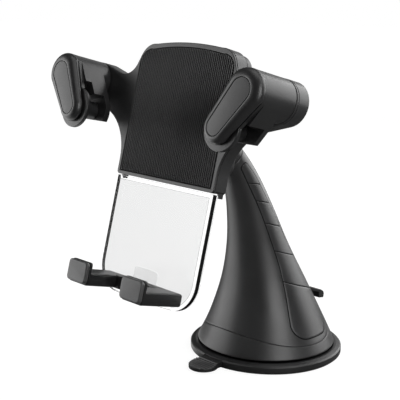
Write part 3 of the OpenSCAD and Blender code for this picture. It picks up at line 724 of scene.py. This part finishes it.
# ---- cradle front ----
PAD_HALF_W = 31.8
PAD_LOW_U = 1.4
PAD_H = 63.7
PAD_CROWN_R = 145
PAD_FRONT_D = -0.25
PAD_BACK_D = 0.66
RIB_PITCH = 1.2


def pad_half(inset):
    return (
        [(PAD_HALF_W - inset, PAD_LOW_U + inset)]
        + arc((24.2, 54.3), PAD_HALF_W - 24.2 - inset, 0, 80.6, 8)
        + arc((0, PAD_H - PAD_CROWN_R), PAD_CROWN_R - inset, 80.6, 90, 10)
    )


def pad_top(x, inset):
    """Height of the pad's top edge at x."""
    corner_r = PAD_HALF_W - 24.2 - inset
    crown_end = (PAD_CROWN_R - inset) * math.cos(math.radians(80.6))
    x = abs(x)
    if x <= crown_end:
        return PAD_H - PAD_CROWN_R + math.sqrt((PAD_CROWN_R - inset) ** 2 - x * x)
    return 54.3 + math.sqrt(max(0.0, corner_r ** 2 - (x - 24.2) ** 2))


def build_ribbed_pad():
    """The pad: a thin backing with upright round-topped ribs at an even pitch, and near-black painted shade
    on the valley faces between the ribs.
    """
    inset, per_rib, per_column = 0.2, 12, 6
    half_w = PAD_HALF_W - inset
    count = int(2 * half_w / RIB_PITCH)
    start = -count * RIB_PITCH / 2
    rib_h, valley = 0.8, 0.45
    back = slab(lambda g: both_halves(pad_half(inset + g)), [(0, PAD_FRONT_D + rib_h), (0, PAD_BACK_D)])
    points, faces = [], []
    for k in range(count * per_rib + 1):
        x = start + k * RIB_PITCH / per_rib
        from_crest = abs((k % per_rib) / per_rib - 0.5) / (0.5 - valley / 2)
        height = rib_h * math.sqrt(max(0.0, 1 - from_crest ** 2))
        low, high = PAD_LOW_U + inset, pad_top(x, inset)
        crest = PAD_FRONT_D + rib_h - height
        for u, share in (
            (low, 0), (low + 0.12, 0.75), (low + 0.4, 1), (high - 0.4, 1), (high - 0.12, 0.75), (high, 0),
        ):
            points.append((x, PAD_FRONT_D + rib_h + (crest - PAD_FRONT_D - rib_h) * share, u))
    for k in range(count * per_rib):
        for i in range(per_column - 1):
            a = k * per_column + i
            faces.append((a, a + 1, a + 1 + per_column, a + per_column))
    add_piece("pad_backing", *back, CRADLE, ["ribbed_pad"])
    ribs = add_piece("pad_ribs", points, faces, CRADLE, ["ribbed_pad"], angle=50)
    # the valley faces get the near-black material: painted shade between the ribs
    ribs.data.materials.append(GROOVE_PAINTED_SHADE)
    into_cradle = CRADLE.inverted()
    for face in ribs.data.polygons:
        if (into_cradle @ face.center).y > PAD_FRONT_D + 0.5 * rib_h:
            face.material_index = 1


# ---- arms ----
ARM_R = 9.9
ARM_REACH = 19.1
FLANGE_FRONT = -20.1
ARM_FRONT = -18.2
PAD_FACE = -24.5


def arm_outline(r_top, r_low):
    """Two round ends joined by straight sides, pivot end at the top."""
    steps = 28
    slope = math.degrees(math.asin((r_top - r_low) / ARM_REACH))
    return (
        arc((0, 0), r_top, slope, 180 - slope, steps)
        + arc((0, -ARM_REACH), r_low, 180 - slope, 360 + slope, steps)
    )


CAP_LOW_R = 7.4
INLAY_TOP_R = 5.6
INLAY_LOW_R = 4.4
CAP_SIDE_D = -21.2


def build_arm(name, side):
    place = arm_place(side)

    def stack(rows):
        """A slab through rows of upper radius, lower radius and depth."""
        return loft([[(x, d, z) for x, z in arm_outline(top, low)] for top, low, d in rows])

    top, low = ARM_R - 0.08, ARM_R - 2.7
    back = ARM_FRONT - 0.05
    spacer = stack([(top, low, FLANGE_FRONT), (top, low, back)])
    disc = slab(
        lambda g: arc((0, -ARM_REACH), ARM_R + 0.1 - g, 0, 355, 71),
        round_profile(FLANGE_FRONT, back, 0.4, 0.2, 4),
    )
    add_piece(f"arm_disc_{name}", *joined(spacer, disc), place, [f"arm_flange_{name}"])
    turn = [math.pi / 2 * k / 14 for k in range(15)]
    cap_rise = CAP_SIDE_D - PAD_FACE
    rows = [
        (ARM_R - 0.15, CAP_LOW_R - 1.3, FLANGE_FRONT - 0.05), (ARM_R, CAP_LOW_R - 1.3, FLANGE_FRONT - 0.2),
        (ARM_R, CAP_LOW_R - 1.1, CAP_SIDE_D + 0.4), (ARM_R, CAP_LOW_R - 0.2, CAP_SIDE_D + 0.2),
    ]
    for t in turn:
        share = 1 - math.cos(t)
        rows.append((
            ARM_R + (INLAY_TOP_R - ARM_R) * share,
            CAP_LOW_R + (INLAY_LOW_R - CAP_LOW_R) * share,
            CAP_SIDE_D - cap_rise * math.sin(t),
        ))
    rows += [
        (INLAY_TOP_R - 0.1, INLAY_LOW_R - 0.1, PAD_FACE + 0.08),
        (INLAY_TOP_R - 0.15, INLAY_LOW_R - 0.15, PAD_FACE + 0.5),
    ]
    add_piece(f"arm_cap_{name}", *stack(rows), place, [f"arm_pad_{name}"], angle=50)
    inlay = slab(
        lambda g: arm_outline(INLAY_TOP_R - 0.3 - g, INLAY_LOW_R - 0.3 - g),
        round_profile(PAD_FACE, PAD_FACE + 0.6, 0.25, 0.05),
    )
    add_piece(f"arm_badge_{name}", *inlay, place, [f"arm_inlay_{name}"])
    bevelled(f"arm_housing_{name}", 0.08, 24, 18)
    bevelled(f"clamp_post_{name}", 0.4)


# ---- slider ----
PLATE_HALF_W = 33.2
PLATE_LOW_U = -57.6
PLATE_HIGH_U = -1.0
PLATE_FRONT_D = 0.7
PLATE_BACK_D = 4.2
PLATE_CORNER = 14
TONGUE_HALF_W = 31.3
TONGUE_HIGH_U = 30
TONGUE_D = (1.5, 3.5)
# Depths between which the plate's side wall is painted near-black, as painted shade in the clear edge
SHADE_WALL_D = (0.95, 3.3)
# How far in from the plate's edge its slightly grey face starts
FACE_INSET = 1.6


def plate_outline(inset):
    centre = (PLATE_HALF_W - PLATE_CORNER, PLATE_LOW_U + PLATE_CORNER + 1)
    half = arc(centre, PLATE_CORNER - inset, -84, 0, 20)
    half += [(PLATE_HALF_W - inset, PLATE_HIGH_U - inset)]
    return [(0, PLATE_LOW_U + inset)] + half + mirrored(half)


def raised_line(name, outline, width, height):
    """A fine raised line on the plate's face along an outline, given by how far in it is."""
    rings = []
    for inset, rise in ((0, -0.05), (0.08, height), (width - 0.08, height), (width, -0.05)):
        rings.append([(x, PLATE_FRONT_D - rise, z) for x, z in outline(inset)])
    return add_piece(name, *loft(rings, caps=False), CRADLE, ["clear_plate"], PLATE_LINE)


def build_plate():
    """The clear plate with a raised line and a faint patch on its face, and a band of its side wall painted
    near-black as painted shade.
    """
    profile = [
        (FACE_INSET, PLATE_FRONT_D), (0.35, PLATE_FRONT_D), (0.1, PLATE_FRONT_D + 0.1),
        (0, SHADE_WALL_D[0]), (0, SHADE_WALL_D[1]),
        (0, PLATE_BACK_D - 0.3), (0.08, PLATE_BACK_D - 0.08), (0.3, PLATE_BACK_D),
    ]
    plate = add_piece("plate", *slab(plate_outline, profile), CRADLE, ["clear_plate"])
    plate.data.materials.append(PLATE_WALL_SHADE)
    plate.data.materials.append(PLATE_FACE)
    into_cradle = CRADLE.inverted()
    for face in plate.data.polygons:
        depth = (into_cradle @ face.center).y
        # wall faces in this band get the near-black painted shade
        if SHADE_WALL_D[0] < depth < SHADE_WALL_D[1]:
            face.material_index = 1
        elif depth < PLATE_FRONT_D + 0.01 and len(face.vertices) > 4:
            face.material_index = 2
    gap = 0.03
    tongue = slab(
        lambda g: [
            (TONGUE_HALF_W - g, PLATE_HIGH_U + gap), (TONGUE_HALF_W - g, TONGUE_HIGH_U - g),
            (-TONGUE_HALF_W + g, TONGUE_HIGH_U - g), (-TONGUE_HALF_W + g, PLATE_HIGH_U + gap),
        ],
        round_profile(*TONGUE_D, 0.2, 0.2, 3),
    )
    add_piece("plate_tongue", *tongue, CRADLE, ["clear_plate"])
    raised_line("plate_line", lambda g: plate_outline(FACE_INSET + g), 0.3, 0.1)
    patch_w, patch_low, patch_high = 8.4, -54, -41.6

    def patch(inset):
        return filleted([
            (patch_w - inset, patch_low + inset), (patch_w - inset, patch_high - inset),
            (inset - patch_w, patch_high - inset), (inset - patch_w, patch_low + inset),
        ], 2.5 - inset)

    levels = [(0, PLATE_FRONT_D + 0.2), (0, PLATE_FRONT_D - 0.06), (0.1, PLATE_FRONT_D - 0.1)]
    add_piece("plate_patch", *slab(patch, levels), CRADLE, ["clear_plate"], PLATE_PATCH)


FOOT_W = (12.4, 26.4)
FOOT_LOW_U = -53.8
LEDGE_U = -47.7
FOOT_TOP_U = -42.9
UPRIGHT_D = (-22.8, -21)
BRACKET_BACK_D = 0.65
FOOT_PAD_D = (-24.7, -22.85)
FOOT_PAD_U = (-53.1, -43.1)


def build_feet():
    """The bracket's two feet with upright ends, the crossbar with a hollow front, and the feet's pads."""

    def foot(g):
        # drawn in depth and height; the upright's corners take more of the inset than its faces
        front, rear = UPRIGHT_D[0] + 0.35 * g, UPRIGHT_D[1] - 0.35 * g
        low, ledge = FOOT_LOW_U + 0.6 * g, LEDGE_U - 0.5 * g
        return filleted([
            (BRACKET_BACK_D, low), (BRACKET_BACK_D, ledge), (rear, ledge), (rear, FOOT_TOP_U - g),
            (front, FOOT_TOP_U - g), (front, low),
        ], 0.5)

    def crossbar(g):
        # drawn in width and depth
        reach, bar_front, hollow_d, squash = FOOT_W[0] + 1.4, -6, -12, 0.75
        front = []
        for i in range(41):
            w = reach * (i / 20 - 1)
            hollow = hollow_d + squash * math.sqrt(max(0.0, FOOT_W[0] ** 2 - w ** 2))
            front.append((w, max(bar_front, hollow) + g))
        return front + [(reach, BRACKET_BACK_D), (-reach, BRACKET_BACK_D)]

    bar_rows = round_profile(FOOT_LOW_U, LEDGE_U, 0.4, 0.4)
    foot_rows = round_profile(*FOOT_W, 1.4, 1.4, 6)
    shapes = [loft([[(w, d, u) for w, d in crossbar(g)] for g, u in bar_rows])]
    for side in SIDES.values():
        shapes.append(loft([[(side * w, d, u) for d, u in foot(g)] for g, w in foot_rows]))
    add_piece("foot_block", *joined(*shapes), CRADLE, ["foot_bracket"], FOOT_DARK)
    for name, side in SIDES.items():
        def pad(g):
            inner, outer = side * (FOOT_W[0] + 0.1 + g), side * (FOOT_W[1] - 0.1 - g)
            low, high = FOOT_PAD_U[0] + g, FOOT_PAD_U[1] - g
            return filleted([(inner, low), (outer, low), (outer, high), (inner, high)], 2 - 0.5 * g, 6)

        cushion = slab(pad, round_profile(*FOOT_PAD_D, 0.7, 0.15))
        add_piece(f"foot_cushion_{name}", *cushion, CRADLE, [f"foot_pad_{name}"])


# ---- carried-over nodes, and copies with rounded edges ----
EDGE_WIDTHS = {
    "front_cover": 0.35, "body_housing": 0.15, "rear_cover": 0.5, "ball_socket": 0.25, "lock_nut": 0.3,
    "neck_collar": 0.25, "vacuum_lever": 0.4,
    "base_plate": 0.25, "cup_post": 0.3,
}


def build_carried_over():
    for node, width in EDGE_WIDTHS.items():
        bevelled(node, width)
    for node, thing in frame["nodes"].items():
        if thing.hide_render:
            continue
        thing.data.materials.clear()
        thing.data.materials.append(MATERIALS[SLOT_OF[node]])


# ---- stage and light ----
NEAR_GLOW = 0.9
CARD_AZIMUTH = math.radians(-55)


def seen_rays(tree):
    """1 for rays from the camera, straight or through the clear plate, and 0 for all others."""
    path = tree.nodes.new("ShaderNodeLightPath")
    either = tree.nodes.new("ShaderNodeMath")
    either.operation = "MAXIMUM"
    tree.links.new(path.outputs["Is Camera Ray"], either.inputs[0])
    tree.links.new(path.outputs["Is Transmission Ray"], either.inputs[1])
    return either.outputs[0]


def add_stage():
    size, drop = 8.0, 0.0002
    mesh = bpy.data.meshes.new("floor")
    mesh.from_pydata(
        [(-size, -size, cad_low.z - drop), (size, -size, cad_low.z - drop),
         (size, size, cad_low.z - drop), (-size, size, cad_low.z - drop)],
        [], [(0, 1, 2, 3)],
    )
    floor = bpy.data.objects.new("floor", mesh)
    bpy.context.scene.collection.objects.link(floor)
    graph = Graph("floor_paper")
    mottle = graph.noise(3, detail=4)
    graph.paint(graph.mix(graph.ranged(mottle, 0, 1), (0.145, 0.145, 0.145), (0.155, 0.155, 0.155)),
                graph.ranged(mottle, 0.85, 0.95))
    # the paper glows where it is seen, more so far off, so that it stays pale up to the horizon
    away = graph.add("ShaderNodeVectorMath", operation="LENGTH")
    graph.join(graph.place, away.inputs[0])
    glow = graph.ranged(away.outputs["Value"], NEAR_GLOW, 1.0, 0.15, 1.6)
    shown = graph.math("MULTIPLY", seen_rays(graph.tree), glow)
    # a bright card lies on the paper to the camera's left, and shows in reflections only
    parts = graph.add("ShaderNodeSeparateXYZ")
    graph.join(graph.place, parts.inputs[0])
    azimuth = graph.math("ARCTAN2", parts.outputs["X"], graph.math("MULTIPLY", parts.outputs["Y"], -1))
    off = graph.math("ABSOLUTE", graph.math("SUBTRACT", azimuth, CARD_AZIMUTH), 0)
    card = graph.ranged(off, 2.4, 0, math.radians(12), math.radians(40))
    card = graph.math("MULTIPLY", card, graph.ranged(away.outputs["Value"], 0.5, 1.0, 0.13, 0.3))
    mirrored_card = graph.math("MULTIPLY", graph.add("ShaderNodeLightPath").outputs["Is Glossy Ray"], card)
    graph.join(graph.math("ADD", shown, mirrored_card), graph.shader.inputs["Emission Strength"])
    graph.shader.inputs["Emission Color"].default_value = (1, 1, 1, 1)
    mesh.materials.append(graph.material)


def add_softbox(name, place, target, size, power):
    data = bpy.data.lights.new(name, "AREA")
    data.shape = "RECTANGLE"
    data.size, data.size_y = size
    data.energy = power
    light = bpy.data.objects.new(name, data)
    bpy.context.scene.collection.objects.link(light)
    light.location = place
    light.rotation_mode = "QUATERNION"
    light.rotation_quaternion = (Vector(target) - Vector(place)).to_track_quat("-Z", "Y")


def add_light():
    # standing softboxes: azimuth from the front towards +X, distance, lower edge, height and width in m,
    # and radiance
    for name, azimuth, distance, low, height, width, radiance in (
        ("left", math.degrees(CARD_AZIMUTH) + 2, 0.75, 0.0, 0.5, 0.7, 2.8),
        ("right", 71, 0.75, 0.07, 0.55, 0.42, 5.2),
        ("behind", 164, 0.75, 0.05, 0.75, 0.9, 3.4),
        ("far left", -150, 0.75, 0.1, 0.6, 0.6, 0.5),
    ):
        a = math.radians(azimuth)
        place = Vector((math.sin(a) * distance, -math.cos(a) * distance, low + height / 2))
        add_softbox(name, place, (0, 0, place.z), (width, height), radiance * math.pi * width * height)
    # hanging softboxes: place, target and size in m, and power in W
    add_softbox("above", (0.05, -0.05, 1.0), (0, -0.03, 0), (0.7, 0.7), 2.5)
    add_softbox("upper right", (0.5, 0.12, 0.7), (0, -0.05, 0.1), (0.45, 0.45), 1.1)
    world = bpy.data.worlds.new("studio")
    world.use_nodes = True
    tree = world.node_tree
    background = tree.nodes["Background"]
    shown = tree.nodes.new("ShaderNodeMapRange")
    shown.inputs["To Min"].default_value = 0.085
    shown.inputs["To Max"].default_value = 1.0
    tree.links.new(seen_rays(tree), shown.inputs["Value"])
    tree.links.new(shown.outputs["Result"], background.inputs["Strength"])
    background.inputs["Color"].default_value = (1, 1, 1, 1)
    bpy.context.scene.world = world
    bpy.context.scene.view_settings.view_transform = "Standard"


add_camera()
build_cone()
for side_name, side_sign in SIDES.items():
    build_strip(side_name, side_sign)
build_cup()
build_ribbed_pad()
for side_name, side_sign in SIDES.items():
    build_arm(side_name, side_sign)
build_plate()
build_feet()
build_carried_over()
add_stage()
add_light()
